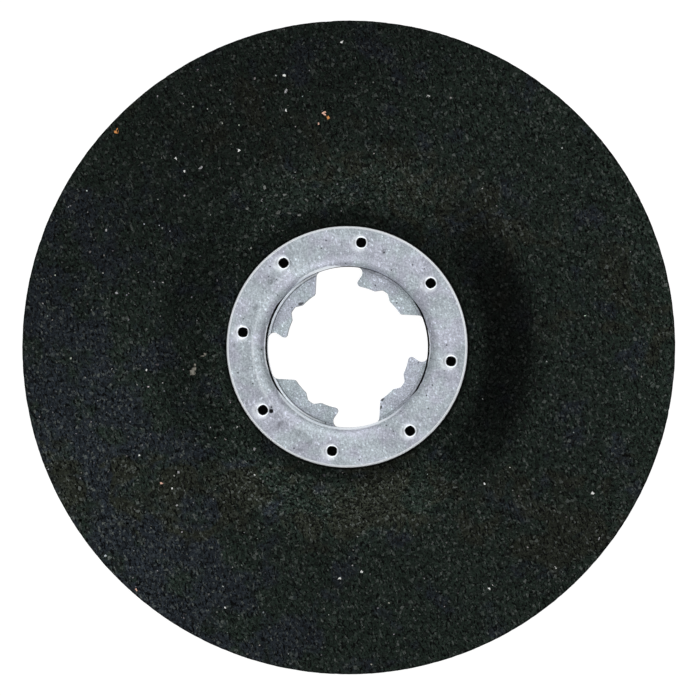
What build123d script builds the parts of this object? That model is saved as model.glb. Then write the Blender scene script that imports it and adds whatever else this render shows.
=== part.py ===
"""Depressed-centre cut-off wheel with a pressed steel quick-change hub.

The wheel lies on the back of its hub plate, with its recessed working side up: Z = 0 is the seat of the
hub plate, +Z points out of the working side, and the origin is on the wheel's axis. Sizes are in
millimetres and angles in degrees, counted anticlockwise from +X as seen from the working side.
"""

import os
from math import asin, degrees, radians, tan

from build123d import *

# Abrasive body
wheel_diameter = 115.0
wheel_thickness = 2.5
recess_depth = 4.6
recess_margin = 3.7  # from the ring's edge to where the floor meets the line of the sloped wall
wall_angle = 34.0
floor_bend_radius = 6.0
top_bend_radius = 7.0
rim_edge_radius = 0.3

# Hub plate
plate_flange_width = 6.0  # outside the lobes
plate_thickness = 1.5
plate_edge_radius = 0.4
arbor_diameter = 22.23
lobe_setback = 0.1  # the lobes stay this far behind the inside of the collar
tab_count = 4
tab_axis_angle = 55.8
tab_steep_side = 5.1  # from the tab's axis to its steep side
tab_slanted_side = 23.9  # angle at the axis where the slanted side starts
tab_slant = 31.0  # how far the slanted side turns outwards
tab_corner_radius = 0.6
tab_root_radius = 1.1
notch_width = 3.3
notch_floor_width = 1.2
notch_depth = 0.84

# Front ring
collar_setback = 3.285  # the inside of the collar stays this far behind the lands of the tabs
ring_width = 7.1  # from the inside of the collar to the ring's edge
ring_thickness = 1.0
ring_edge_radius = 0.4
collar_bend_radius = 2.0
collar_clearance = 0.1

# Pierced holes of the front ring, and the four barbs that each one turns down at the back
hole_count = 8
hole_setting = 4.3  # from the inside of the collar to the centre of a hole
hole_start_angle = 37.0
hole_width = 1.7
hole_corner_radius = 0.6
dish_diameter = 2.9
dish_depth = 0.3
barbs_per_hole = 4
barb_length = 0.8
barb_root_width = 0.9
barb_tip_width = 0.2
barb_thickness = 0.3
barb_clearance = 0.05

# Small pit beside one of the holes
pit_setting = 3.25  # from the inside of the collar to the centre of the pit
pit_angle = 220.4
pit_diameter = 0.9
pit_depth = 0.4

# Levels along the axis, from the seat up
plate_front = plate_thickness
floor_level = plate_front + wheel_thickness
ring_front = floor_level + ring_thickness
wheel_front = floor_level + recess_depth

# Radii that neighbours share
land_radius = arbor_diameter / 2
collar_radius = land_radius + collar_setback
body_bore_radius = collar_radius + ring_thickness + collar_clearance
ring_radius = collar_radius + ring_width
hole_circle_radius = collar_radius + hole_setting
lobe_radius = collar_radius + lobe_setback
plate_radius = lobe_radius + plate_flange_width


# Abrasive body: the line of its working side, thickened towards the back and turned about the axis.
# The bore's front edge is rounded to clear the bend of the ring, and a pocket takes each hole's barbs.
wall_foot_radius = ring_radius + recess_margin
wall_top_radius = wall_foot_radius + recess_depth / tan(radians(wall_angle))
bore_edge_radius = collar_bend_radius - ring_thickness + collar_clearance
pocket_width = hole_width + 2 * (barb_thickness + barb_clearance)
pocket_depth = barb_length + barb_clearance

with BuildPart() as abrasive_body:
    with BuildSketch(Plane.XZ) as body_section:
        with BuildLine():
            FilletPolyline(
                (body_bore_radius, floor_level),
                (wall_foot_radius, floor_level),
                (wall_top_radius, wheel_front),
                (wheel_diameter / 2, wheel_front),
                radius=[floor_bend_radius, top_bend_radius],
            )
            offset(amount=wheel_thickness, side=Side.RIGHT)
        make_face()
        fillet(body_section.vertices().group_by(Axis.X)[-1], rim_edge_radius)
        fillet(body_section.vertices().group_by(Axis.X)[0].sort_by(Axis.Y)[-1], bore_edge_radius)
    revolve(axis=Axis.Z)
    with BuildSketch(Plane.XY.offset(floor_level)):
        with PolarLocations(hole_circle_radius, hole_count, hole_start_angle):
            Rectangle(pocket_width, pocket_width)
    extrude(amount=-pocket_depth, mode=Mode.SUBTRACT)
abrasive_body.part.label = "abrasive_body"


# One barb: a pointed tongue of the ring's metal, on the edge of a hole, turned down from the ring's back
with BuildPart() as barb:
    with BuildSketch(Plane.XZ.offset(hole_width / 2)):
        with BuildLine():
            Polyline(
                (-barb_root_width / 2, floor_level),
                (-barb_tip_width / 2, floor_level - barb_length),
                (barb_tip_width / 2, floor_level - barb_length),
                (barb_root_width / 2, floor_level),
                close=True,
            )
        make_face()
    extrude(amount=barb_thickness)


# Front ring: a washer whose inner edge rolls down into a collar that stands on the hub plate
with BuildPart() as front_ring:
    with BuildSketch(Plane.XZ) as ring_section:
        with BuildLine():
            FilletPolyline(
                (ring_radius, ring_front),
                (collar_radius, ring_front),
                (collar_radius, plate_front),
                radius=collar_bend_radius,
            )
            offset(amount=ring_thickness, side=Side.LEFT)
        make_face()
        fillet(ring_section.vertices().group_by(Axis.X)[-1].sort_by(Axis.Y)[-1], ring_edge_radius)
    revolve(axis=Axis.Z)
    with PolarLocations(hole_circle_radius, hole_count, hole_start_angle):
        with Locations((0, 0, ring_front - dish_depth / 2)):
            Cone(hole_width / 2, dish_diameter / 2, dish_depth, mode=Mode.SUBTRACT)
    with BuildSketch(Plane.XY.offset(ring_front)):
        with PolarLocations(hole_circle_radius, hole_count, hole_start_angle):
            RectangleRounded(hole_width, hole_width, hole_corner_radius)
    extrude(amount=-ring_thickness, mode=Mode.SUBTRACT)
    with PolarLocations(hole_circle_radius, hole_count, hole_start_angle):
        with PolarLocations(0, barbs_per_hole):
            add(barb.part)
    with PolarLocations(collar_radius + pit_setting, 1, pit_angle):
        with Locations((0, 0, ring_front - pit_depth / 2)):
            Cone(0, pit_diameter / 2, pit_depth, mode=Mode.SUBTRACT)
front_ring.part.label = "front_ring"


# Four-lobed opening of the hub plate: the lobes' circle, less the tabs, plus the bore and its notches.
# A tab is drawn about +X from the axis outwards, because the bore takes away what is inside its lands.
slant_foot = Vector(land_radius, 0).rotate(Axis.Z, -tab_slanted_side)
slant_end = slant_foot + Vector(lobe_radius, 0).rotate(Axis.Z, tab_slant - 90)
notch_corner = Vector(land_radius, 0).rotate(Axis.Z, degrees(asin(notch_width / 2 / land_radius)))
notch_floor = land_radius + notch_depth

with BuildSketch() as opening:
    Circle(lobe_radius)
    with PolarLocations(0, tab_count, tab_axis_angle):
        Polygon(
            (0, 0),
            slant_foot,
            slant_end,
            (slant_end.X, tab_steep_side),
            (0, tab_steep_side),
            align=None,
            mode=Mode.SUBTRACT,
        )
    Circle(land_radius)
    with PolarLocations(0, tab_count, tab_axis_angle):
        Polygon(
            (0, 0),
            (notch_corner.X, -notch_corner.Y),
            (notch_floor, -notch_floor_width / 2),
            (notch_floor, notch_floor_width / 2),
            notch_corner,
            align=None,
        )
    fillet(opening.vertices().group_by(SortBy.DISTANCE)[-1], tab_root_radius)
    land_corners, notch_floor_corners = opening.vertices().group_by(SortBy.DISTANCE)[:2]
    fillet(land_corners + notch_floor_corners, tab_corner_radius)

with BuildPart() as hub_plate:
    with BuildSketch():
        Circle(plate_radius)
        add(opening.sketch, mode=Mode.SUBTRACT)
    extrude(amount=plate_thickness)
    plate_rim = hub_plate.edges().filter_by(GeomType.CIRCLE).group_by(SortBy.RADIUS)[-1]
    fillet(plate_rim, plate_edge_radius)
hub_plate.part.label = "hub_plate"

os.makedirs("parts", exist_ok=True)
for piece in (abrasive_body, front_ring, hub_plate):
    export_step(piece.part, f"parts/{piece.part.label}.step")
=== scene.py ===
"""Depressed-centre cut-off wheel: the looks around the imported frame, laid out as a Blender add-on.

All lengths are in metres, in the frame of the CAD model: +Z is out of the recessed working side. A direction
of the picture is in degrees, counted anticlockwise from +X as seen from that side.
"""

import math
from functools import reduce

import bpy
import numpy as np
from bpy.props import FloatProperty, FloatVectorProperty, IntProperty, PointerProperty
from mathutils import Matrix, Vector


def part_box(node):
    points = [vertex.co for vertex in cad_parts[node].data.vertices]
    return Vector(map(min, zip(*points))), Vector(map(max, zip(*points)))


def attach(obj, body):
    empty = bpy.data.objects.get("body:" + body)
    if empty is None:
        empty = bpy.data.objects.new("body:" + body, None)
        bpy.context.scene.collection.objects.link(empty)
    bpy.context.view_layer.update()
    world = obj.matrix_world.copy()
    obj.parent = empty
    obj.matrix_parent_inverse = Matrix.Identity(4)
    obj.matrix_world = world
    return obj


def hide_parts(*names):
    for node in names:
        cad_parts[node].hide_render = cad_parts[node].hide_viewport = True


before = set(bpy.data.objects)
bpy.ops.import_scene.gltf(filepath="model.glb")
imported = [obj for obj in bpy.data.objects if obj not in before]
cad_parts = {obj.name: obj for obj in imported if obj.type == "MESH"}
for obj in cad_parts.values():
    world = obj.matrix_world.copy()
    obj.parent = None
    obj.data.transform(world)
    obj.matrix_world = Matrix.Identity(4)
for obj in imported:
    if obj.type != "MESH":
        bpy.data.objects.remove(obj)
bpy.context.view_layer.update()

bl_info = {
    "name": "Cut-off Wheel",
    "version": (1, 0, 0),
    "blender": (4, 5, 0),
    "location": "3D View > Sidebar > Cut-off Wheel",
    "description": "Dresses the packed cut-off wheel: grained abrasive body, grit, galvanised hub and stage",
    "category": "Object",
}

MM = 0.001

BODY_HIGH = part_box("abrasive_body")[1]
RING_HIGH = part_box("front_ring")[1]
PLATE_LOW, PLATE_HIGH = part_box("hub_plate")


# Sizes and colours that a user would change


def length_prop(name, description, millimetres):
    """A length in the panel."""
    return FloatProperty(name=name, description=description, default=millimetres * MM, unit="LENGTH")


def angle_prop(name, description, degrees):
    """An angle in the panel."""
    return FloatProperty(name=name, description=description, default=math.radians(degrees), subtype="ANGLE")


def colour_prop(name, description, colour):
    """A colour in the panel."""
    return FloatVectorProperty(name=name, description=description, default=colour, subtype="COLOR")


class AbrasiveSizes(bpy.types.PropertyGroup):
    """Sizes of the abrasive body and its grain, and the bond's colour."""

    thickness: length_prop("Thickness", "Thickness of the abrasive sheet", 2.5)
    floor_level: length_prop("Floor Level", "Height of the recessed floor", 4.0)
    wall_foot: length_prop("Wall Foot", "Radius where the floor meets the wall", 25.2)
    wall_angle: angle_prop("Wall Angle", "Slope of the recess wall", 34)
    floor_bend: length_prop("Floor Bend", "Bend radius at the wall's foot", 6.0)
    top_bend: length_prop("Top Bend", "Bend radius at the wall's top", 7.0)
    bore_radius: length_prop("Bore Radius", "Radius of the body's bore", 15.5)
    bore_rounding: length_prop("Bore Rounding", "Rounding under the ring's bend", 1.1)
    rim_rounding: length_prop("Rim Rounding", "Rounding of the rim's two edges", 0.3)
    face_spacing: length_prop("Face Spacing", "Point spacing on the working face", 0.42)
    back_spacing: length_prop("Back Spacing", "Point spacing on the back", 0.72)
    hidden_spacing: length_prop("Hidden Spacing", "Point spacing under the ring", 0.9)
    relief: length_prop("Relief", "Depth of the grained surface", 0.16)
    grain_size: length_prop("Grain Size", "Width of a grain", 0.55)
    lump_size: length_prop("Lump Size", "Width of the lumps that the press leaves", 2.6)
    colour: colour_prop("Colour", "Colour of the resin bond", (0.0152, 0.0240, 0.0186))


class GritSizes(bpy.types.PropertyGroup):
    """Sizes and numbers of the grit that stands in the abrasive body's skin."""

    coarse_size: length_prop("Coarse Grit", "Mean width of the coarse grit", 0.46)
    fine_size: length_prop("Fine Grit", "Mean width of the fine grit", 0.3)
    grain_count: IntProperty(name="Grains", description="Grains in each layer of grit", default=15000, min=1)
    speck_count: IntProperty(name="Specks", description="Light specks of the face", default=520, min=1)
    seed: IntProperty(name="Seed", description="Seed of the grit's places", default=11)


class HubFinish(bpy.types.PropertyGroup):
    """Colours of the galvanised hub, and the places that its finish follows."""

    ring_colour: colour_prop("Ring", "Zinc of the front ring", (0.388, 0.418, 0.458))
    plate_colour: colour_prop("Plate", "Zinc of the hub plate", (0.405, 0.445, 0.484))
    hole_count: IntProperty(name="Holes", description="Pierced holes of the front ring", default=8)
    hole_circle: length_prop("Hole Circle", "Radius of the circle of holes", 18.7)
    hole_start: angle_prop("First Hole", "Angle of the first hole", 37)
    hole_width: length_prop("Hole Width", "Width of a hole", 1.7)
    pit_circle: length_prop("Pit Circle", "Distance of the small pit from the axis", 17.65)
    pit_angle: angle_prop("Pit Angle", "Angle of the small pit", 220.4)
    collar_radius: length_prop("Collar", "Inner radius of the ring's collar", 14.4)


class StageSettings(bpy.types.PropertyGroup):
    """Camera, lamps and the light all round."""

    camera_distance: length_prop("Camera Distance", "From the wheel's face to the camera", 321)
    lean_right: angle_prop("Lean Right", "Lean of the camera to the picture's right", 3.3)
    lean_down: angle_prop("Lean Down", "Lean of the camera to the picture's foot", 1.1)
    lens: FloatProperty(name="Lens", description="Focal length of the camera", default=94.5, unit="CAMERA")
    top_lamp: FloatProperty(name="Top Lamp", description="Lamp above the scene", default=3.0, unit="POWER")
    foot_lamp: FloatProperty(name="Foot Lamp", description="Lamp below the scene", default=2.0, unit="POWER")
    right_lamp: FloatProperty(name="Right Lamp", description="Lamp on the right", default=0.3, unit="POWER")
    surround: FloatProperty(name="Surround", description="Light all round on dull surfaces", default=0.25)


# Node helpers


def is_socket(value):
    """Tells a socket from a plain value."""
    return isinstance(value, bpy.types.NodeSocket)


def add_node(kind, inputs, tree=None, **settings):
    """A new node with its settings, in a given tree or that of the sockets among its inputs. An input given a
    socket is linked to it, and any other is set."""
    tree = tree or next(value.id_data for value in inputs.values() if is_socket(value))
    node = tree.nodes.new(kind)
    for name, value in settings.items():
        setattr(node, name, value)
    for name, value in inputs.items():
        if is_socket(value):
            tree.links.new(value, node.inputs[name])
        else:
            node.inputs[name].default_value = value
    return node


def calc(operation, *values):
    """The result of a Math node on sockets or numbers."""
    return add_node("ShaderNodeMath", dict(enumerate(values)), operation=operation).outputs[0]


def product(*values):
    """The product of sockets and numbers."""
    return reduce(lambda first, second: calc("MULTIPLY", first, second), values)


def largest(*values):
    """The largest of sockets and numbers."""
    return reduce(lambda first, second: calc("MAXIMUM", first, second), values)


def ramp(value, start, end, low=0.0, high=1.0, smooth=True):
    """A value brought from start..end to low..high, and held there."""
    inputs = {"Value": value, "From Min": start, "From Max": end, "To Min": low, "To Max": high}
    kind = "SMOOTHSTEP" if smooth else "LINEAR"
    return add_node("ShaderNodeMapRange", inputs, interpolation_type=kind).outputs["Result"]


def within(mask, factor):
    """A factor that counts only as far as a mask goes, and is one elsewhere."""
    change = calc("SUBTRACT", factor, 1.0) if is_socket(factor) else factor - 1.0
    return calc("MULTIPLY_ADD", mask, change, 1.0)


def scaled(vector, factor):
    """A vector or colour times a factor."""
    return add_node("ShaderNodeVectorMath", {0: vector, 3: factor}, operation="SCALE").outputs[0]


def shifted(vector, step):
    """A vector moved by a step."""
    return add_node("ShaderNodeVectorMath", {0: vector, 1: step}, operation="ADD").outputs[0]


def per_metre(width):
    """How many features of a width fit into a metre, as a pattern's scale."""
    return calc("DIVIDE", 1.0, width) if is_socket(width) else 1 / width


def noise(place, width, detail=2.0, roughness=0.5, distortion=0.0, output=0):
    """The value (output 0) or vector (output 1) of a Noise node with features of a width."""
    inputs = {
        "Vector": place,
        "Scale": per_metre(width),
        "Detail": detail,
        "Roughness": roughness,
        "Distortion": distortion,
    }
    return add_node("ShaderNodeTexNoise", inputs).outputs[output]


def cells(place, width, output="Distance"):
    """An output of a Voronoi node with cells of a width."""
    inputs = {"Vector": place, "Scale": per_metre(width)}
    return add_node("ShaderNodeTexVoronoi", inputs).outputs[output]


def cell_shade(place, width):
    """A random value for each cell of a width."""
    return add_node("ShaderNodeSeparateColor", {0: cells(place, width, "Color")}).outputs[0]


def tinted(colour, shares):
    """A plain colour with each channel times its share."""
    return tuple(channel * share for channel, share in zip(colour, shares))


def mix_colour(share, first, second):
    """Two colours mixed by a share."""
    first, second = (colour if is_socket(colour) else (*colour, 1.0) for colour in (first, second))
    return add_node("ShaderNodeMix", {0: share, 6: first, 7: second}, data_type="RGBA").outputs[2]


def bump(height, distance, strength):
    """The normal that a height gives."""
    inputs = {"Height": height, "Distance": distance, "Strength": strength}
    return add_node("ShaderNodeBump", inputs).outputs[0]


def flat_length(across, up):
    """The length of a line by how far it goes across and up."""
    line = add_node("ShaderNodeCombineXYZ", {0: across, 1: up}).outputs[0]
    return add_node("ShaderNodeVectorMath", {0: line}, operation="LENGTH").outputs["Value"]


def polar(place):
    """A place's distance from the axis, and its three coordinates."""
    split = add_node("ShaderNodeSeparateXYZ", {0: place}).outputs
    return flat_length(split[0], split[1]), split


def towards(split, degrees):
    """How far a place lies from the axis in a direction of the picture."""
    turn = math.radians(degrees)
    up = calc("MULTIPLY", split[1], math.sin(turn))
    return calc("MULTIPLY_ADD", split[0], math.cos(turn), up)


def facing(radius, split, degrees):
    """The cosine of the angle between a place, seen from the axis, and a direction of the picture."""
    return calc("DIVIDE", towards(split, degrees), radius)


def off_circle(radius, circle):
    """How far a place lies from a circle about the axis."""
    return calc("ABSOLUTE", calc("SUBTRACT", radius, circle))


def local(place, degrees, scale, centre=(0.0, 0.0)):
    """A place as seen from a centre, turned to a direction and measured in a length and a width."""
    inputs = {
        "Vector": place,
        "Location": (*centre, 0.0),
        "Rotation": (0.0, 0.0, math.radians(degrees)),
        "Scale": (*scale, 1.0),
    }
    return add_node("ShaderNodeMapping", inputs, vector_type="TEXTURE").outputs[0]


def stretched(place, degrees, length):
    """A place for a pattern whose features lie along a direction, drawn out to a multiple of their width."""
    return local(place, degrees, (length, 1.0))


def near_spot(place, centre, long=1.0, wide=1.0, degrees=0.0):
    """The distance to a centre, counted in halves of the spot's length and width."""
    return polar(local(place, degrees, (long, wide), centre))[0]


# Material, mesh and tree helpers


def empty_tree(owner):
    """The emptied tree of a material or a world."""
    owner.use_nodes = True
    owner.node_tree.nodes.clear()
    return owner.node_tree


def new_material(name):
    """A material and its empty tree."""
    material = bpy.data.materials.new(name)
    return material, empty_tree(material)


def object_place(tree):
    """Each point's place on the wheel, for a material."""
    return add_node("ShaderNodeTexCoord", {}, tree).outputs["Object"]


def surface(inputs):
    """Ends a material's tree in a Principled shader with its named inputs."""
    shader = add_node("ShaderNodeBsdfPrincipled", inputs)
    add_node("ShaderNodeOutputMaterial", {0: shader.outputs[0]})


def object_from(mesh, name):
    """A new object in the scene for a mesh."""
    obj = bpy.data.objects.new(name, mesh)
    bpy.context.scene.collection.objects.link(obj)
    return obj


def geometry_tree(name, floats, integers=(), switches=()):
    """An empty Geometry Nodes tree with its named inputs, and the sockets of its input and output nodes."""
    tree = bpy.data.node_groups.new(name, "GeometryNodeTree")
    tree.interface.new_socket("Geometry", in_out="OUTPUT", socket_type="NodeSocketGeometry")
    kinds = ("Geometry", "Float", "Int", "Bool", "Material")
    for kind, names in zip(kinds, (("Geometry",), floats, integers, switches, ("Material",))):
        for socket_name in names:
            tree.interface.new_socket(socket_name, in_out="INPUT", socket_type=f"NodeSocket{kind}")
    return tree, tree.nodes.new("NodeGroupInput").outputs, tree.nodes.new("NodeGroupOutput").inputs


def settle(obj, tree, inputs):
    """Runs a Geometry Nodes tree with its named inputs on an object, and leaves a plain mesh."""
    modifier = obj.modifiers.new(tree.name, "NODES")
    modifier.node_group = tree
    for item in tree.interface.items_tree:
        if item.in_out == "INPUT" and item.name in inputs:
            modifier[item.identifier] = inputs[item.name]
    graph = bpy.context.evaluated_depsgraph_get()
    mesh = bpy.data.meshes.new_from_object(obj.evaluated_get(graph), depsgraph=graph)
    obj.modifiers.remove(modifier)
    obj.data = mesh


def tree_place(tree):
    """Each point's place on the wheel, for a Geometry Nodes tree."""
    return add_node("GeometryNodeInputPosition", {}, tree).outputs[0]


def process(kind, geometry, **inputs):
    """The geometry that a Geometry Nodes step makes of another."""
    return add_node(f"GeometryNode{kind}", {"Geometry": geometry, **inputs}).outputs[0]


def stored(tree, name, kind="FLOAT"):
    """A named attribute of the mesh."""
    return add_node("GeometryNodeInputNamedAttribute", {"Name": name}, tree, data_type=kind).outputs[0]


# Abrasive body

# The zones of the body's section, how deep the relief goes in each, and the shares of a point's spacing
# that it may be moved by and that its row lies from the next
BORE, HIDDEN, FACE, RIM, BACK = range(5)
RELIEF_SHARES = (0.0, 0.0, 1.0, 0.4, 1.0)
JITTER_SHARE = 0.28
ROW_SHARE = math.sqrt(3) / 2

PALE_GRAIN = (0.073, 0.082, 0.076)


def arc(centre_r, centre_z, radius, start, end, step):
    """Points of an arc in the section, from one angle to the other."""
    count = max(3, int(abs(end - start) * radius / step))
    turns = np.linspace(start, end, count)
    return np.column_stack((centre_r + radius * np.cos(turns), centre_z + radius * np.sin(turns)))


def front_line(sizes, step):
    """The section's working side from the bore to the rim: floor, bend, wall, bend and flat."""
    up = math.pi / 2
    foot, level, angle = sizes.wall_foot, sizes.floor_level, sizes.wall_angle
    low_bend, high_bend = sizes.floor_bend, sizes.top_bend
    top_level = BODY_HIGH.z
    top = foot + (top_level - level) / math.tan(angle)
    low_centre = foot - low_bend * math.tan(angle / 2)
    high_centre = top + high_bend * math.tan(angle / 2)
    return np.vstack((
        (sizes.bore_radius, level),
        arc(low_centre, level + low_bend, low_bend, -up, angle - up, step),
        arc(high_centre, top_level - high_bend, high_bend, up + angle, up, step),
        (BODY_HIGH.x, top_level),
    ))


def dense(points, step):
    """A line with points at most a step apart."""
    out = []
    for first, second in zip(points[:-1], points[1:]):
        count = max(1, int(np.linalg.norm(second - first) / step))
        shares = np.arange(count)[:, None] / count
        out.append(first + (second - first) * shares)
    return np.vstack((*out, points[-1:]))


def body_section(sizes, step=0.05 * MM):
    """The closed section of the body, as points and the zone that each is in."""
    front = dense(front_line(sizes, step), step)
    along = np.gradient(front, axis=0)
    along /= np.linalg.norm(along, axis=1)[:, None]
    back = (front + sizes.thickness * np.column_stack((along[:, 1], -along[:, 0])))[::-1]
    bore, level, rim, top = sizes.bore_radius, sizes.floor_level, BODY_HIGH.x, BODY_HIGH.z
    bore_round, rim_round = sizes.bore_rounding, sizes.rim_rounding
    low, quarter = top - sizes.thickness, math.pi / 2
    front = front[(front[:, 0] > bore + bore_round) & (front[:, 0] < rim - rim_round)]
    back = back[back[:, 0] < rim - rim_round]
    bore_edge = arc(bore + bore_round, level - bore_round, bore_round, 2 * quarter, quarter, step)
    rim_edge = np.vstack((
        arc(rim - rim_round, top - rim_round, rim_round, quarter, 0, step),
        arc(rim - rim_round, low + rim_round, rim_round, 0, -quarter, step),
    ))
    bore_wall = np.array([(bore, level - sizes.thickness), (bore, level - bore_round)])
    under_ring = front[:, 0] < RING_HIGH.x - 0.6 * MM
    stretches = (
        (bore_edge, HIDDEN),
        (front, np.where(under_ring, HIDDEN, FACE)),
        (dense(rim_edge, step), RIM),
        (back, BACK),
        (dense(bore_wall, step), BORE),
    )
    zones = [np.broadcast_to(zone, len(points)) for points, zone in stretches]
    return np.vstack([points for points, zone in stretches]), np.concatenate(zones)


def stitch(first, first_count, second, second_count):
    """Triangles between two rings of points, each given by its first index and its count."""
    turns = np.concatenate([(np.arange(count) + 0.5) / count for count in (first_count, second_count)])
    order = np.argsort(turns, kind="stable")
    on_first = order < first_count
    i = np.cumsum(on_first) - on_first
    j = np.cumsum(~on_first) - ~on_first
    a = first + i % first_count
    b = second + j % second_count
    third = np.where(on_first, first + (i + 1) % first_count, second + (j + 1) % second_count)
    return np.column_stack((a, b, third))


def sink_pockets(verts, zones, finish):
    """Lets the floor down under each pierced hole, where the ring's barbs bite."""
    half_width, depth = 1.15 * MM, 0.85 * MM
    turns = finish.hole_start + 2 * math.pi * np.arange(finish.hole_count) / finish.hole_count
    for turn in turns:
        out = verts[:, 0] * math.cos(turn) + verts[:, 1] * math.sin(turn) - finish.hole_circle
        side = verts[:, 1] * math.cos(turn) - verts[:, 0] * math.sin(turn)
        inside = (zones == HIDDEN) & (abs(out) < half_width) & (abs(side) < half_width)
        verts[inside, 2] -= depth


def body_mesh(sizes, finish, seed):
    """The body's closed skin: rings of points round the axis, close together on the working face."""
    rng = np.random.default_rng(seed)
    hidden, face = sizes.hidden_spacing, sizes.face_spacing
    spacing_of = {BORE: hidden, HIDDEN: hidden, FACE: face, RIM: face, BACK: sizes.back_spacing}
    points, zones = body_section(sizes)
    points = np.vstack((points, points[:1]))
    lengths = np.concatenate(((0.0,), np.cumsum(np.linalg.norm(np.diff(points, axis=0), axis=1))))
    place, rows = 0.0, []
    while place < lengths[-1]:
        zone = zones[min(np.searchsorted(lengths, place), len(zones) - 1)]
        rows.append((place, zone))
        place += spacing_of[zone] * ROW_SHARE
    verts, vert_zone, counts = [], [], []
    for place, zone in rows:
        spacing = spacing_of[zone]
        radius = np.interp(place, lengths, points[:, 0])
        count = max(32, round(2 * math.pi * radius / spacing))
        jitter = rng.uniform(-JITTER_SHARE, JITTER_SHARE, (2, count)) * spacing * (zone in (FACE, BACK))
        r, z = (np.interp(place + jitter[0], lengths, points[:, column]) for column in (0, 1))
        turn = 2 * math.pi * np.arange(count) / count + jitter[1] / r
        verts.append(np.column_stack((r * np.cos(turn), r * np.sin(turn), z)))
        vert_zone.append(np.full(count, zone))
        counts.append(count)
    verts, vert_zone = np.vstack(verts), np.concatenate(vert_zone)
    rings = list(zip(np.cumsum(counts) - counts, counts))
    faces = np.vstack([stitch(*ring, *following) for ring, following in zip(rings, rings[1:] + rings[:1])])
    sink_pockets(verts, vert_zone, finish)
    mesh = bpy.data.meshes.new("abrasive_body_skin")
    mesh.from_pydata(verts.tolist(), [], faces.tolist())
    share = mesh.attributes.new("relief_share", "FLOAT", "POINT")
    share.data.foreach_set("value", np.choose(vert_zone, RELIEF_SHARES).astype(np.float32))
    for name, zone in (("on_face", FACE), ("on_back", BACK)):
        flag = mesh.attributes.new(name, "BOOLEAN", "FACE")
        flag.data.foreach_set("value", (vert_zone[faces] == zone).all(axis=1))
    mesh.update()
    return mesh


def relief_tree():
    """Sinks the skin between its grains: cells for the grains, lumps from the press, and a few pits."""
    tree, given, result = geometry_tree("Grained skin", ("Relief", "Grain Size", "Lump Size"))
    place = tree_place(tree)
    normal = add_node("GeometryNodeInputNormal", {}, tree).outputs[0]
    lumps = ramp(noise(place, given["Lump Size"], 3.0, 0.6), 0.35, 0.65)
    pits = ramp(noise(place, 1.3 * MM, 1.0), 0.64, 0.74)
    depth = product(lumps, 0.45)
    for pattern, share in ((cells(place, given["Grain Size"]), 0.75), (pits, 0.7)):
        depth = calc("MULTIPLY_ADD", pattern, share, depth)
    inward = product(depth, stored(tree, "relief_share"), given["Relief"], -1.0)
    moved = process("SetPosition", given["Geometry"], Offset=scaled(normal, inward))
    painted = process("SetMaterial", process("RealizeInstances", moved), Material=given["Material"])
    tree.links.new(painted, result[0])
    return tree


def bond_hue(place, split, colour):
    """The bond's colour: dark green, with bluish patches, most of them at the lower left, and brownish ones,
    most of them in the recess, at the picture's foot and upper right."""
    below_left = ramp(towards(split, 208), 18 * MM, 52 * MM, 0.0, 0.17)
    patches = calc("ADD", noise(place, 6 * MM, 3.0, 0.6), below_left)
    bluish, brownish = tinted(colour, (1.2, 0.98, 1.6)), tinted(colour, (1.35, 0.99, 0.92))
    cool = mix_colour(ramp(patches, 0.53, 0.68), colour, bluish)
    stains = noise(place, 8 * MM, 3.0, 0.6, 1.0)
    for degrees, share in ((268, 0.24), (64, 0.2)):
        along = towards(split, degrees)
        near = product(ramp(along, 14 * MM, 24 * MM), ramp(along, 42 * MM, 31 * MM), share)
        stains = calc("ADD", stains, near)
    return mix_colour(ramp(stains, 0.68, 0.8), cool, brownish)


def bond_tone_and_painted_shade(radius, split):
    """How light the bond is: a painted shadow beside the ring, painted shade at the rim's edge, and painted
    light and shade on the sides of the recess, lighter at the picture's head and foot and darker at its right
    and left; also paler on the floor's lower left, on the left and at the right rim, and duller at the upper
    left."""
    across = facing(radius, split, 0)
    wall = product(ramp(radius, 23 * MM, 26 * MM), ramp(radius, 36 * MM, 31 * MM))
    # Painted light and shade on the recess wall: lighter at the picture's head and foot, darker at its right
    # and, less, at its left
    right_wall_painted_light = ramp(across, 0.35, 0.95, 1.8, 0.22)
    left_wall_painted_shade = ramp(across, -0.42, -0.98, 1.0, 0.42)
    floor = ramp(radius, 27 * MM, 24 * MM)
    below_left = ramp(facing(radius, split, 230), -0.7, 0.8, 0.85, 1.4)
    # Painted shadow on the bond beside the ring's edge
    seam = ramp(radius, RING_HIGH.x + 0.1 * MM, RING_HIGH.x + 0.5 * MM, 0.08, 1.0)
    # Painted shade along the rim's top edge
    rim = ramp(radius, BODY_HIGH.x - 0.4 * MM, BODY_HIGH.x - 0.15 * MM)
    rim_edge_painted_shade = product(rim, ramp(split[2], BODY_HIGH.z - 0.5 * MM, BODY_HIGH.z - 0.3 * MM))
    return product(
        within(wall, product(right_wall_painted_light, left_wall_painted_shade)),
        within(floor, below_left),
        seam,
        within(rim_edge_painted_shade, 0.1),
        ramp(towards(split, 193), 12 * MM, 54 * MM, 1.0, 1.55),
        ramp(split[0], 42 * MM, 56 * MM, 1.0, 1.25),
        ramp(towards(split, 128), 12 * MM, 45 * MM, 1.0, 0.58),
    )


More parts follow.
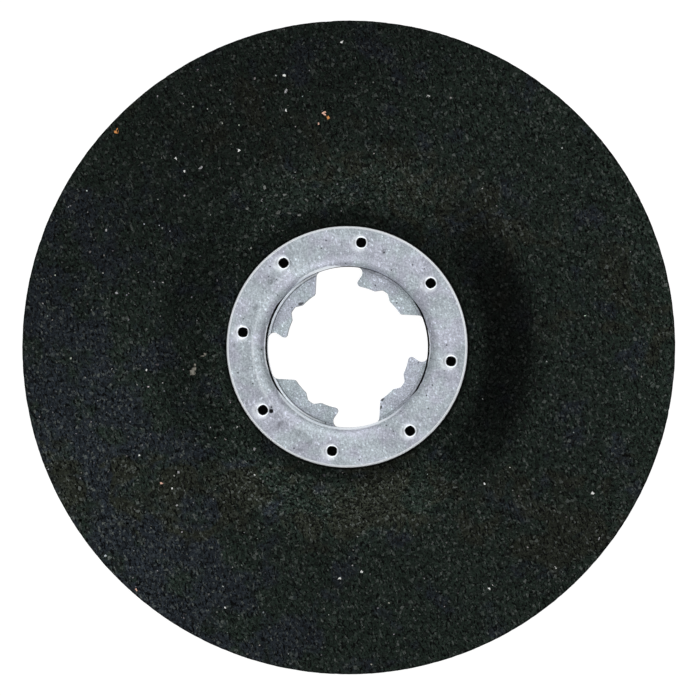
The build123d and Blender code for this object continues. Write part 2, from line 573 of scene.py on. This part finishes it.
def abrasive_material(colour):
    """Coarse, matt, nearly black resin bond with black pores and pale strokes, its hue in patches, with
    painted light and shade in its lightness.
    """
    material, tree = new_material("abrasive_bond")
    place = object_place(tree)
    radius, split = polar(place)
    grains = ramp(cell_shade(place, 0.3 * MM), 0.0, 1.0, 0.4, 1.15, False)
    strokes = calc("POWER", cell_shade(stretched(place, 110, 2.0), 0.28 * MM), 10.0)
    fine = noise(place, 0.19 * MM, 2.0, 0.7)
    gaps = noise(stretched(place, 108, 2.2), 0.33 * MM, 1.0)
    pores = ramp(gaps, 0.395, 0.465, 0.06, 1.0)
    # The lightness takes the painted shadow beside the ring, the painted shade at the rim's edge and the
    # painted light and shade of the recess wall
    spread = product(pores, ramp(fine, 0.3, 0.7, 0.35, 1.75), bond_tone_and_painted_shade(radius, split))
    bond = scaled(bond_hue(place, split, colour), product(grains, spread))
    height = calc("MULTIPLY_ADD", noise(place, 0.16 * MM, 2.0, 0.6), 0.6, fine)
    surface({
        "Base Color": mix_colour(strokes, bond, scaled(PALE_GRAIN, spread)),
        "Roughness": ramp(fine, 0.3, 0.7, 0.5, 0.85),
        "Specular IOR Level": 0.05,
        "Normal": bump(height, 0.12 * MM, 0.6),
    })
    return material


class WHEEL_OT_abrasive_body(bpy.types.Operator):
    """Builds the grained skin of the abrasive body, which stands for the CAD solid"""

    bl_idname = "wheel.abrasive_body"
    bl_label = "Abrasive Body"

    def execute(self, context):
        sizes = context.scene.wheel_abrasive
        body = object_from(body_mesh(sizes, context.scene.wheel_hub, seed=3), "abrasive_body_skin")
        settle(body, relief_tree(), {
            "Relief": sizes.relief,
            "Grain Size": sizes.grain_size,
            "Lump Size": sizes.lump_size,
            "Material": abrasive_material(sizes.colour),
        })
        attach(body, "root")
        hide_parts("abrasive_body")
        return {"FINISHED"}


# Grit

MOULD = {"Top": BODY_HIGH.z, "Rim Radius": BODY_HIGH.x}  # tree inputs that keep the grains inside it
WOBBLE_WIDTH = 0.35 * MM  # of the noise that knocks the grains' corners about
WOBBLE_REACH = 1.3  # of a grit grain's corners, as a share of its width
BACK_SHARE = 0.8  # width of the back's grit, as a share of the coarse grit's
SHADE_SEED = 77


def random_value(low, high, seed, kind="FLOAT_VECTOR"):
    """A random vector or number for each point."""
    first, output = (0, 0) if kind == "FLOAT_VECTOR" else (2, 1)
    inputs = {first: low, first + 1: high, "Seed": seed}
    return add_node("FunctionNodeRandomValue", inputs, data_type=kind).outputs[output]


def grains_on(points, width, lowest, highest, seed):
    """A block of twelve triangles on each point, turned and shaped at random, and of a width."""
    cube = add_node("GeometryNodeMeshCube", {"Size": (1.0, 1.0, 1.0)}, points.id_data).outputs[0]
    inputs = {
        "Points": points,
        "Instance": add_node("GeometryNodeTriangulate", {"Mesh": cube}).outputs[0],
        "Rotation": random_value((0.0, 0.0, 0.0), (math.tau, math.tau, math.tau), seed),
        "Scale": scaled(random_value(lowest, highest, seed), width),
    }
    return add_node("GeometryNodeInstanceOnPoints", inputs).outputs[0]


def inside_mould(place, given):
    """A place brought under the working face and inside the rim where it stands proud of them."""
    radius, split = polar(place)
    factor = calc("MINIMUM", 1.0, calc("DIVIDE", given["Rim Radius"], radius))
    inputs = {
        0: product(split[0], factor),
        1: product(split[1], factor),
        2: calc("MINIMUM", split[2], given["Top"]),
    }
    return add_node("ShaderNodeCombineXYZ", inputs).outputs[0]


def settle_grains(given, grains, reach):
    """Placed grains made real, with their corners knocked about, held inside the mould and painted."""
    place = tree_place(grains.id_data)
    wobble = shifted(noise(place, WOBBLE_WIDTH, 0.0, output=1), (-0.5, -0.5, -0.5))
    bent = process("SetPosition", process("RealizeInstances", grains), Offset=scaled(wobble, reach))
    held = process("SetPosition", bent, Position=inside_mould(place, given))
    return process("SetMaterial", held, Material=given["Material"])


def grit_tree():
    """Scatters angular grains over a marked part of the skin, each half sunk in it."""
    sizes = ("Density", "Grain Width", "Size Spread", *MOULD)
    tree, given, result = geometry_tree("Grit", sizes, ("Seed", "Shade Seed"), ("On Back",))
    seed, spread = given["Seed"], given["Size Spread"]
    sides = {
        "Switch": given["On Back"],
        "False": stored(tree, "on_face", "BOOLEAN"),
        "True": stored(tree, "on_back", "BOOLEAN"),
    }
    sown = {
        "Mesh": given["Geometry"],
        "Selection": add_node("GeometryNodeSwitch", sides, input_type="BOOLEAN").outputs[0],
        "Density": given["Density"],
        "Seed": seed,
    }
    points = add_node("GeometryNodeDistributePointsOnFaces", sown).outputs["Points"]
    smallest, greatest = calc("SUBTRACT", 1.0, spread), calc("ADD", 1.0, spread)
    width = product(random_value(smallest, greatest, seed, "FLOAT"), given["Grain Width"])
    shaded = {
        "Geometry": grains_on(points, width, (0.6, 0.6, 0.5), (1.0, 1.0, 0.9), seed),
        "Name": "grain_shade",
        "Value": random_value(0.0, 1.0, given["Shade Seed"], "FLOAT"),
    }
    kinds = {"data_type": "FLOAT", "domain": "INSTANCE"}
    shaded = add_node("GeometryNodeStoreNamedAttribute", shaded, **kinds).outputs[0]
    reach = product(given["Grain Width"], WOBBLE_REACH)
    tree.links.new(settle_grains(given, shaded, reach), result[0])
    return tree


def grit_material(colour):
    """Dark grains, a few of them much lighter, with duller and shinier ones among them, and the bond's
    painted light and shade in their lightness.
    """
    material, tree = new_material("abrasive_grit")
    shade = add_node("ShaderNodeAttribute", {}, tree, attribute_name="grain_shade").outputs["Fac"]
    place = object_place(tree)
    radius, split = polar(place)
    grain = noise(place, 0.12 * MM, 2.0, 0.6)
    level = ramp(shade, 0.0, 1.0, 0.08, 1.2, False)
    # The lightness takes the painted shadow beside the ring, the painted shade at the rim's edge and the
    # painted light and shade of the recess wall
    spread = product(ramp(grain, 0.3, 0.7, 0.5, 1.5), bond_tone_and_painted_shade(radius, split))
    dark = scaled(bond_hue(place, split, colour), product(level, spread))
    pale = scaled(PALE_GRAIN, spread)
    dullness = calc("FRACT", product(shade, 7.0))
    surface({
        "Base Color": mix_colour(calc("POWER", shade, 11.0), dark, pale),
        "Roughness": ramp(dullness, 0.0, 1.0, 0.4, 0.8),
        "Specular IOR Level": 0.1,
        "Normal": bump(grain, 0.05 * MM, 0.4),
    })
    return material


def scatter(name, tree, sizes, width, back, seed, material):
    """One layer of grit as a plain piece that rides on the wheel."""
    body = bpy.data.objects["abrasive_body_skin"]
    grit = object_from(body.data.copy(), name)
    area = math.pi * (BODY_HIGH.x**2 - RING_HIGH.x**2)
    settle(grit, tree, {
        "Density": sizes.grain_count / area,
        "Grain Width": width,
        "Size Spread": 0.45,
        "Seed": seed,
        "Shade Seed": SHADE_SEED,
        "On Back": back,
        "Material": material,
        **MOULD,
    })
    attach(grit, "root")


class WHEEL_OT_grit(bpy.types.Operator):
    """Scatters coarse and fine grit over the working face, and grit over the back"""

    bl_idname = "wheel.grit"
    bl_label = "Grit"

    def execute(self, context):
        sizes = context.scene.wheel_grit
        material = grit_material(context.scene.wheel_abrasive.colour)
        tree = grit_tree()
        layers = (
            ("grit_face_coarse", sizes.coarse_size, False),
            ("grit_face_fine", sizes.fine_size, False),
            ("grit_back", BACK_SHARE * sizes.coarse_size, True),
        )
        for number, (name, width, back) in enumerate(layers):
            scatter(name, tree, sizes, width, back, sizes.seed + number, material)
        return {"FINISHED"}


# Mineral specks

WHITE, GREY, DULL, BEIGE = (0.8, 0.81, 0.79), (0.34, 0.34, 0.35), (0.15, 0.16, 0.15), (0.2, 0.19, 0.16)
PINK, ORANGE = (0.85, 0.52, 0.4), (0.72, 0.3, 0.09)

# The specks that stand out in the photograph: across and up from the axis, width in millimetres, and colour.
# Most of these places were printed by a program that looked for the photograph's lightest spots.
NOTABLE_SPECKS = (
    (-40.6, 38.1, 0.8, ORANGE), (-3.7, 41.0, 0.8, PINK), (-3.2, 40.3, 0.6, ORANGE),
    (-27.4, -4.7, 0.9, BEIGE), (-27.2, -4.0, 0.7, BEIGE), (-27.1, -3.3, 0.5, BEIGE),
    (-25.8, -1.7, 0.7, BEIGE), (-25.4, -1.3, 0.5, BEIGE), (-37.0, -42.9, 0.55, PINK),
    (-19.6, -14.3, 0.5, WHITE), (-0.6, 53.6, 0.55, WHITE), (-18.8, 34.6, 0.5, WHITE),
    (-10.5, 41.6, 0.45, WHITE), (2.9, -39.5, 0.45, WHITE), (-32.9, 8.1, 0.4, WHITE),
    (-28.5, 31.0, 0.35, WHITE), (25.1, -42.3, 0.45, WHITE), (-10.8, 47.8, 0.4, WHITE),
    (36.6, -38.6, 0.4, WHITE), (-1.0, -40.7, 0.4, WHITE), (24.3, -24.0, 0.35, WHITE),
    (-4.7, 39.3, 0.4, PINK), (-30.6, -25.0, 0.35, WHITE), (-36.4, -19.2, 0.35, WHITE),
    (-29.5, -22.2, 0.4, GREY), (-16.3, -22.8, 0.4, WHITE), (-29.7, -28.0, 0.4, GREY),
    (-42.4, 20.6, 0.4, GREY), (-21.2, -45.9, 0.35, WHITE), (44.2, -33.5, 0.4, GREY),
    (-32.5, -24.1, 0.65, PINK), (-25.6, 31.6, 0.6, GREY), (-30.1, 33.3, 0.45, WHITE),
    (-35.2, -4.2, 0.5, WHITE), (-40.5, 9.5, 0.5, GREY), (-10.5, 45.0, 0.6, GREY),
    (-10.8, 27.0, 0.75, DULL), (-12.1, 24.0, 0.75, DULL), (-10.3, 23.8, 0.65, DULL),
    (-8.5, 23.5, 0.75, DULL), (-7.1, 26.1, 0.65, DULL), (-12.4, 26.9, 0.5, DULL),
    (-13.3, 21.6, 0.6, GREY), (-14.3, 28.1, 0.6, DULL), (-17.5, 24.6, 0.6, DULL),
    (-14.9, 25.9, 0.55, GREY), (-16.5, -18.2, 0.7, GREY), (14.6, 43.9, 0.5, WHITE),
    (43.1, -25.6, 0.5, WHITE),
)

SPECK_SIDE = 195  # the direction in which the other specks lie closest together
SPECK_WIDTH, SPECK_DEPTH, SPECK_MARGIN = 0.19 * MM, 0.07 * MM, 0.5 * MM


def front_height(sizes, radius):
    """The height of the working side at a radius."""
    line = dense(front_line(sizes, 0.2 * MM), 0.2 * MM)
    return np.interp(radius, line[:, 0], line[:, 1])


def speck_points(sizes, count, seed):
    """Points on the working side for the specks, with their widths and colours: more of them on the left."""
    rng = np.random.default_rng(seed)
    inner, outer = RING_HIGH.x + SPECK_MARGIN, BODY_HIGH.x - SPECK_MARGIN
    radius = np.sqrt(rng.uniform(inner**2, outer**2, 3 * count))
    angle = rng.uniform(0, math.tau, 3 * count)
    chance = 0.55 + 0.45 * np.cos(angle - math.radians(SPECK_SIDE))
    kept = np.flatnonzero(rng.uniform(0, 1, 3 * count) < chance)[:count]
    radius, angle = radius[kept], angle[kept]
    width = SPECK_WIDTH * np.exp(rng.normal(0, 0.3, len(kept)))
    level = 0.05 + 0.55 * rng.uniform(0, 1, len(kept)) ** 2.5
    tint = 1 + rng.normal(0, 0.06, (len(kept), 3))
    across, up, notable_width, notable_colour = zip(*NOTABLE_SPECKS)
    x = np.concatenate((radius * np.cos(angle), np.array(across) * MM))
    y = np.concatenate((radius * np.sin(angle), np.array(up) * MM))
    width = np.concatenate((width, np.array(notable_width) * MM))
    colour = np.vstack((level[:, None] * tint, np.array(notable_colour)))
    z = front_height(sizes, np.hypot(x, y)) - SPECK_DEPTH
    return np.column_stack((x, y, z)), width, np.column_stack((colour, np.ones(len(x))))


def speck_tree():
    """Puts an angular grain of its own width on each point."""
    tree, given, result = geometry_tree("Specks", tuple(MOULD), ("Seed",))
    width = stored(tree, "speck_width")
    specks = grains_on(given["Geometry"], width, (0.7, 0.7, 0.5), (1.0, 1.0, 0.8), given["Seed"])
    tree.links.new(settle_grains(given, specks, width), result[0])
    return tree


def speck_material():
    """Light mineral grains, each in its own colour."""
    material, tree = new_material("mineral_specks")
    own = add_node("ShaderNodeAttribute", {}, tree, attribute_name="speck_colour").outputs["Color"]
    grain = noise(object_place(tree), 0.15 * MM, 2.0, 0.6)
    surface({
        "Base Color": scaled(own, ramp(grain, 0.3, 0.7, 0.75, 1.15)),
        "Roughness": 0.5,
        "Specular IOR Level": 0.4,
    })
    return material


class WHEEL_OT_specks(bpy.types.Operator):
    """Presses light mineral specks into the working face, with the ones that stand out at their own places"""

    bl_idname = "wheel.specks"
    bl_label = "Mineral Specks"

    def execute(self, context):
        sizes = context.scene.wheel_grit
        points, widths, colours = speck_points(context.scene.wheel_abrasive, sizes.speck_count, sizes.seed)
        mesh = bpy.data.meshes.new("mineral_specks")
        mesh.from_pydata(points.tolist(), [], [])
        mesh.attributes.new("speck_width", "FLOAT", "POINT").data.foreach_set("value", widths)
        colour = mesh.attributes.new("speck_colour", "FLOAT_COLOR", "POINT")
        colour.data.foreach_set("color", colours.ravel())
        specks = object_from(mesh, "mineral_specks")
        settle(specks, speck_tree(), {**MOULD, "Seed": sizes.seed, "Material": speck_material()})
        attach(specks, "root")
        return {"FINISHED"}


# Hub

# Colour of the ring's painted highlights: round its holes, at its edge, along its bend and on the collar's
# foot
PAINTED_RING_HIGHLIGHT = (0.91, 0.95, 0.99)
# Colour of the plate's painted highlight strip
PAINTED_PLATE_HIGHLIGHT = (0.9, 0.95, 1.0)
# Colour of the ring's painted black shade: in the collar's seam, along its outer edge, in the pit and in the
# holes
PAINTED_SHADE_BLACK = (0.006, 0.006, 0.007)
RESIDUE_GREY = (0.05, 0.052, 0.055)

# Where the collar's bend takes painted black shade, and where it takes a painted glint: centre and half width
# in degrees, and how far up from the middle of the collar in millimetres
COLLAR_MIDDLE = 2.6 * MM
BLACK_SPANS = ((-3, 34, 1.5), (65, 34, 0.72), (180, 37, 1.3))
BRIGHT_SPANS = ((180, 20, 1.6), (0, 14, 1.75), (112, 16, 1.6), (262, 54, 1.6))

# Darker smudges and dots of the ring, where the photograph shows them: across and up, half length and half
# width in millimetres, and the share of light that they take
MARKS_LIE = 60
RING_MARKS = (
    (-13.5, 11.8, 1.0, 0.6, 0.3),
    (-16.3, 7.0, 0.9, 0.5, 0.3),
    (-11.9, -13.8, 1.0, 0.5, 0.3),
    (-8.5, -15.2, 0.9, 0.5, 0.25),
    (-6.4, -17.0, 0.8, 0.5, 0.25),
    (6.6, 16.9, 0.8, 0.5, 0.35),
    (-13.9, 12.5, 0.2, 0.16, 0.7),
    (-12.5, 12.0, 0.2, 0.14, 0.7),
    (-12.3, 9.2, 0.18, 0.14, 0.7),
    (-18.4, 5.0, 0.18, 0.16, 0.7),
    (11.7, 14.5, 0.2, 0.16, 0.7),
    (13.8, 13.8, 0.2, 0.14, 0.7),
    (8.0, 13.6, 0.2, 0.16, 0.7),
    (6.7, 16.7, 0.24, 0.2, 0.8),
    (-11.2, -20.3, 0.2, 0.16, 0.7),
)

# Dark residue on the tabs, where the photograph shows it: across and up, half length, half width, and turn
RESIDUE = (
    (-8.4, 7.8, 0.6, 0.28, 20),
    (6.3, -9.4, 0.45, 0.25, 30),
    (6.0, -10.8, 0.35, 0.22, 80),
)


def zinc(place, colour):
    """The zinc's colour with its mottling, smudges, grain and dark dots, and the grain's height."""
    grain = noise(place, 0.3 * MM, 3.0, 0.7)
    streaks = noise(stretched(place, 95, 5.0), 0.22 * MM, 2.0, 0.6)
    ticks = calc("POWER", cell_shade(stretched(place, 120, 1.6), 0.24 * MM), 12.0)
    factor = product(
        ramp(noise(place, 5.263 * MM, 4.0, 0.6), 0.34, 0.66, 0.86, 1.1),
        ramp(noise(place, 2.6 * MM, 4.0, 0.65, 1.0), 0.56, 0.7, 1.0, 0.78),
        ramp(streaks, 0.3, 0.7, 0.91, 1.09),
        calc("MULTIPLY_ADD", ticks, 0.6, 0.96),
        ramp(grain, 0.25, 0.75, 0.68, 1.32),
        ramp(cells(place, 1.9 * MM), 0.06, 0.11, 0.25, 1.0),
    )
    violet, greenish = tinted(colour, (1.02, 0.985, 1.035)), tinted(colour, (0.98, 1.01, 0.995))
    hue = mix_colour(ramp(noise(place, 4 * MM), 0.4, 0.6), greenish, violet)
    return scaled(hue, factor), grain


def near_hole(place, finish):
    """The distance to the centre of the nearest pierced hole."""
    radius, split = polar(place)
    angle = calc("ARCTAN2", split[1], split[0])
    half = math.pi / finish.hole_count
    turn = calc("WRAP", calc("SUBTRACT", angle, finish.hole_start), half, -half)
    out = calc("SUBTRACT", product(radius, calc("COSINE", turn)), finish.hole_circle)
    return flat_length(out, product(radius, calc("SINE", turn)))


def hole_glow(place, finish):
    """Painted highlights round the pierced holes: a thin halo, and a soft patch on its left."""
    half = finish.hole_width / 2
    halo = ramp(near_hole(place, finish), half + 0.4 * MM, half + 0.22 * MM, 0.0, 0.85)
    beside = near_hole(shifted(place, (0.4 * MM, 0.2 * MM, 0.0)), finish)
    ragged = calc("MULTIPLY_ADD", noise(place, 0.8 * MM), 0.5 * MM, beside)
    return largest(halo, ramp(ragged, 2.1 * MM, 1.3 * MM, 0.0, 0.35))


def seam_height(radius, split, spans, blur):
    """How far up the collar the spans reach at each angle, their ends blurred by some degrees each way."""
    height = COLLAR_MIDDLE
    for centre, half, rise in spans:
        start, end = (math.cos(math.radians(half + way)) for way in (blur, -blur))
        near = ramp(facing(radius, split, centre), start, end, 0.0, rise * MM)
        height = calc("ADD", height, near)
    return height


def seam_lines(place, radius, split):
    """How much painted black shade the collar takes in the seam, how far the painted glint on the bend above
    it reaches, and how pale the painted reflection on its foot is, which shows on the picture's left."""
    ragged = calc("MULTIPLY_ADD", noise(place, 0.7 * MM), 0.3 * MM, -0.15 * MM)
    level = calc("ADD", split[2], ragged)
    above_black, above_bright = (
        calc("SUBTRACT", level, seam_height(radius, split, spans, blur))
        for spans, blur in ((BLACK_SPANS, 8), (BRIGHT_SPANS, 10))
    )
    leftward = ramp(facing(radius, split, 180), 0.5, 0.75)
    # Painted reflection: the collar's foot pale on the picture's left, below the painted black shade
    foot = product(leftward, ramp(level, 2.5 * MM, 2.3 * MM))
    seam_shade = product(ramp(above_black, 0.08 * MM, -0.08 * MM), calc("SUBTRACT", 1.0, foot))
    return seam_shade, product(ramp(above_bright, 0.12 * MM, -0.2 * MM), 0.76), foot


def ring_marks(place):
    """The light that the ring's smudges and dots leave over, ragged at their edges."""
    ragged = product(noise(place, 0.4 * MM), 0.9)
    left_over = []
    for x, y, long, wide, share in RING_MARKS:
        distance = near_spot(place, (x * MM, y * MM), long * MM, wide * MM, MARKS_LIE)
        left_over.append(ramp(calc("ADD", distance, ragged), 0.9, 1.6, 1.0 - share, 1.0))
    return product(*left_over)


def ring_material(finish):
    """Galvanised sheet of the front ring: mottled, with painted highlights round its holes, at its edge,
    along its bend and on the collar's foot, painted light on the bend's left, and painted black shade in the
    holes, in the pit, along its outer edge and in the collar's seam."""
    material, tree = new_material("ring_zinc")
    place = object_place(tree)
    radius, split = polar(place)
    zinc_colour, grain = zinc(place, finish.ring_colour)
    # Painted black shade in the collar's seam, a painted glint on the bend above it, and a painted pale
    # reflection on the collar's foot at the picture's left
    seam_shade, glint, foot = seam_lines(place, radius, split)
    # Painted highlight along the bend's ridge on the picture's left
    ridge_highlight = product(
        ramp(off_circle(radius, finish.collar_radius + 2.35 * MM), 0.4 * MM, 0.05 * MM),
        ramp(facing(radius, split, 180), 0.3, 0.65),
        ramp(noise(place, 0.9 * MM), 0.42, 0.6),
        0.25,
    )
    # Painted highlight along the ring's outer edge, joined with the painted pale reflection on the collar's
    # foot
    edge = ramp(radius, RING_HIGH.x - 0.52 * MM, RING_HIGH.x - 0.4 * MM)
    pale = largest(edge, foot)
    # Painted highlights round the holes, along the ridge, as the bend's glint, at the edge and on the
    # collar's foot, mixed in as near-white metal
    bright = largest(hole_glow(place, finish), ridge_highlight, glint, pale)
    # Painted light: the bend lighter towards the picture's left, a little below; the smudges and dots are the
    # ring's own
    bend = ramp(off_circle(radius, finish.collar_radius + 1.85 * MM), 1.1 * MM, 0.4 * MM)
    lit_side = ramp(facing(radius, split, 200), -0.1, 0.6, 1.0, 1.13)
    marks_and_painted_light = product(ring_marks(place), within(bend, lit_side))
    colour = mix_colour(bright, scaled(zinc_colour, marks_and_painted_light), PAINTED_RING_HIGHLIGHT)
    pit = Matrix.Rotation(finish.pit_angle, 2) @ Vector((finish.pit_circle, 0.0))
    # Painted black shade: in the collar's seam, as a line along the ring's outer edge, in the pit and in the
    # holes
    black = largest(
        seam_shade,
        ramp(radius, RING_HIGH.x - 0.14 * MM, RING_HIGH.x - 0.05 * MM, 0.0, 0.9),
        ramp(near_spot(place, pit), 0.45 * MM, 0.32 * MM, 0.0, 0.95),
        ramp(near_hole(place, finish), 0.94 * MM, 0.86 * MM),
    )
    surface({
        "Base Color": mix_colour(black, colour, PAINTED_SHADE_BLACK),
        "Metallic": calc("SUBTRACT", 1.0, largest(black, pale)),
        "Specular IOR Level": 0.0,
        "Roughness": ramp(grain, 0.3, 0.7, 0.42, 0.56),
        "Normal": bump(grain, 0.03 * MM, 0.35),
    })
    return material


def residue(place):
    """How dark the residue on the tabs is, ragged at its edges."""
    ragged = noise(place, 0.3 * MM)
    blots = []
    for x, y, long, wide, degrees in RESIDUE:
        distance = near_spot(place, (x * MM, y * MM), long * MM, wide * MM, degrees)
        blots.append(ramp(calc("ADD", distance, ragged), 1.6, 1.2, 0.0, 0.85))
    return largest(*blots)


def plate_material(finish):
    """Galvanised sheet of the hub plate: finely granular, with a painted highlight strip on the left, a dark
    line beside the collar, dark residue in places, and darker punched edges."""
    material, tree = new_material("plate_zinc")
    place = object_place(tree)
    radius, split = polar(place)
    height, collar = split[2], finish.collar_radius
    zinc_colour, grain = zinc(place, finish.plate_colour)
    coarse = noise(place, 0.22 * MM, 2.0, 0.7)
    granular = scaled(zinc_colour, ramp(coarse, 0.3, 0.7, 0.75, 1.25))
    leftward = ramp(facing(radius, split, 180), 0.2, 0.55)
    front = ramp(height, PLATE_HIGH.z - 0.1 * MM, PLATE_HIGH.z - 0.02 * MM)
    # Painted highlight: a pale strip on the plate beside the collar, on the picture's left
    strip = product(ramp(radius, collar - 0.3 * MM, collar - 0.22 * MM), leftward, front)
    line = product(
        ramp(off_circle(radius, collar - 0.42 * MM), 0.12 * MM, 0.04 * MM),
        ramp(leftward, 0.0, 1.0, 0.25, 0.7),
        front,
    )
    punched = product(
        ramp(height, PLATE_HIGH.z, PLATE_HIGH.z - 0.12 * MM),
        ramp(height, PLATE_LOW.z, PLATE_LOW.z + 0.12 * MM),
        ramp(radius, collar + 0.2 * MM, collar),
        0.75,
    )
    dark = largest(line, residue(place), punched)
    surface({
        "Base Color": mix_colour(dark, mix_colour(strip, granular, PAINTED_PLATE_HIGHLIGHT), RESIDUE_GREY),
        "Metallic": calc("SUBTRACT", 1.0, strip),
        "Specular IOR Level": 0.0,
        "Roughness": ramp(grain, 0.3, 0.7, 0.45, 0.6),
        "Normal": bump(coarse, 0.03 * MM, 0.4),
    })
    return material


def repaint(node, material):
    """Gives a CAD node's object a better material in all its slots."""
    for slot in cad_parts[node].material_slots:
        slot.material = material


class WHEEL_OT_hub(bpy.types.Operator):
    """Gives the two pressed sheets of the hub their galvanised finish, with painted highlights and painted
    shade
    """

    bl_idname = "wheel.hub"
    bl_label = "Hub"

    def execute(self, context):
        finish = context.scene.wheel_hub
        repaint("front_ring", ring_material(finish))
        repaint("hub_plate", plate_material(finish))
        return {"FINISHED"}


# Stage

FLOOR_HALF = 3.0
FLOOR_CARD = (0.85, 0.85, 0.85, 1.0)
FLOOR_GLOW = 1.17  # strength of the floor's own white
FLOOR_GLOW_SHARE = 0.82  # of what the camera sees of the floor
WHITE_LIGHT = (1.0, 1.0, 1.0, 1.0)

# The lamps: place, length and width, and the setting that holds the power
LAMPS = {
    "lamp_above": ((0.0, 0.5, 0.165), (0.8, 0.2), "top_lamp"),
    "lamp_below": ((0.0, -0.5, 0.165), (0.8, 0.2), "foot_lamp"),
    "lamp_right": ((0.24, 0.05, 0.42), (0.2, 0.3), "right_lamp"),
}

FACE_CENTRE = Vector((0.0, 0.0, 8.3 * MM))  # where the camera leans from
AIM_SHIFT = Vector((0.45 * MM, -0.29 * MM, 0.0))  # from there to the middle of the picture


def seen(tree):
    """One for a ray from the camera, a reflection or a see-through surface, or else nothing."""
    path = add_node("ShaderNodeLightPath", {}, tree).outputs
    return largest(path["Is Camera Ray"], path["Is Glossy Ray"], path["Is Transmission Ray"])


def floor_material():
    """A white floor that keeps a soft shadow: mostly its own white to the camera, and plain to the lamps."""
    material, tree = new_material("stage_floor")
    card = add_node("ShaderNodeBsdfDiffuse", {"Color": FLOOR_CARD}, tree)
    white = add_node("ShaderNodeEmission", {"Color": WHITE_LIGHT, "Strength": FLOOR_GLOW}, tree)
    inputs = {0: product(seen(tree), FLOOR_GLOW_SHARE), 1: card.outputs[0], 2: white.outputs[0]}
    mixed = add_node("ShaderNodeMixShader", inputs)
    add_node("ShaderNodeOutputMaterial", {0: mixed.outputs[0]})
    return material


def surround_light(strength):
    """The light all round: white overhead, darker low down at the picture's sides, and brighter half way down
    towards its head and foot."""
    world = bpy.data.worlds.new("surround")
    bpy.context.scene.world = world
    tree = empty_tree(world)
    direction = add_node("ShaderNodeTexCoord", {}, tree).outputs["Generated"]
    split = add_node("ShaderNodeSeparateXYZ", {0: direction}).outputs
    left = ramp(split[0], -0.02, -0.72, 1.0, 0.38)
    right = ramp(split[0], 0.22, 0.8, 1.0, 0.33)
    upward = calc("ABSOLUTE", split[1])
    high = product(ramp(upward, 0.12, 0.42), ramp(upward, 0.6, 0.95, 1.0, 0.75))
    level = calc("MULTIPLY_ADD", high, 0.85, calc("MINIMUM", left, right))
    level = product(ramp(seen(tree), 0.0, 1.0, strength, 1.0, False), level)
    light = add_node("ShaderNodeBackground", {"Color": WHITE_LIGHT, "Strength": level})
    add_node("ShaderNodeOutputWorld", {0: light.outputs[0]})


def lamp(name, place, size, power):
    """A soft rectangular lamp at a place, turned towards the wheel, whose mirror image isn't seen."""
    data = bpy.data.lights.new(name, "AREA")
    data.shape = "RECTANGLE"
    data.size, data.size_y = size
    data.energy = power
    obj = object_from(data, name)
    obj.location = place
    obj.rotation_euler = (-obj.location).to_track_quat("-Z", "Y").to_euler()
    obj.visible_glossy = False


def set_camera(settings):
    """The photograph's camera: over the working side, leaning a little to the picture's right and foot."""
    data = bpy.data.cameras.new("camera")
    data.lens = settings.lens
    camera = object_from(data, "camera")
    lean = Vector((math.tan(settings.lean_right), -math.tan(settings.lean_down), 1.0)).normalized()
    camera.location = FACE_CENTRE + settings.camera_distance * lean
    back = (camera.location - FACE_CENTRE - AIM_SHIFT).normalized()
    right = Vector((0.0, 1.0, 0.0)).cross(back).normalized()
    camera.rotation_euler = Matrix((right, back.cross(right), back)).transposed().to_euler()
    bpy.context.scene.camera = camera


class WHEEL_OT_stage(bpy.types.Operator):
    """Sets the floor, the lamps and the camera over the working side"""

    bl_idname = "wheel.stage"
    bl_label = "Stage"

    def execute(self, context):
        settings = context.scene.wheel_stage
        mesh = bpy.data.meshes.new("floor")
        corners = [(FLOOR_HALF * x, FLOOR_HALF * y, 0.0) for x, y in ((-1, -1), (1, -1), (1, 1), (-1, 1))]
        mesh.from_pydata(corners, [], [(0, 1, 2, 3)])
        mesh.materials.append(floor_material())
        object_from(mesh, "floor")
        surround_light(settings.surround)
        for name, (place, size, power) in LAMPS.items():
            lamp(name, place, size, getattr(settings, power))
        set_camera(settings)
        context.scene.view_settings.view_transform = "Standard"
        return {"FINISHED"}


# Panel and run

OPERATORS = (WHEEL_OT_abrasive_body, WHEEL_OT_grit, WHEEL_OT_specks, WHEEL_OT_hub, WHEEL_OT_stage)
GROUPS = {
    "wheel_abrasive": AbrasiveSizes,
    "wheel_grit": GritSizes,
    "wheel_hub": HubFinish,
    "wheel_stage": StageSettings,
}


class WHEEL_PT_sidebar(bpy.types.Panel):
    """The wheel's pieces and stage, with their sizes"""

    bl_label = "Cut-off Wheel"
    bl_space_type = "VIEW_3D"
    bl_region_type = "UI"
    bl_category = "Cut-off Wheel"

    def draw(self, context):
        for operator in OPERATORS:
            self.layout.operator(operator.bl_idname)
        for name, group in GROUPS.items():
            box = self.layout.box()
            for key in group.__annotations__:
                box.prop(getattr(context.scene, name), key)


CLASSES = (*GROUPS.values(), *OPERATORS, WHEEL_PT_sidebar)


def register():
    for entry in CLASSES:
        bpy.utils.register_class(entry)
    for name, group in GROUPS.items():
        setattr(bpy.types.Scene, name, PointerProperty(type=group))


def unregister():
    for name in GROUPS:
        delattr(bpy.types.Scene, name)
    for entry in reversed(CLASSES):
        bpy.utils.unregister_class(entry)


def main():
    register()
    bpy.ops.wheel.abrasive_body()
    bpy.ops.wheel.grit()
    bpy.ops.wheel.specks()
    bpy.ops.wheel.hub()
    bpy.ops.wheel.stage()


if __name__ == "__main__":
    main()
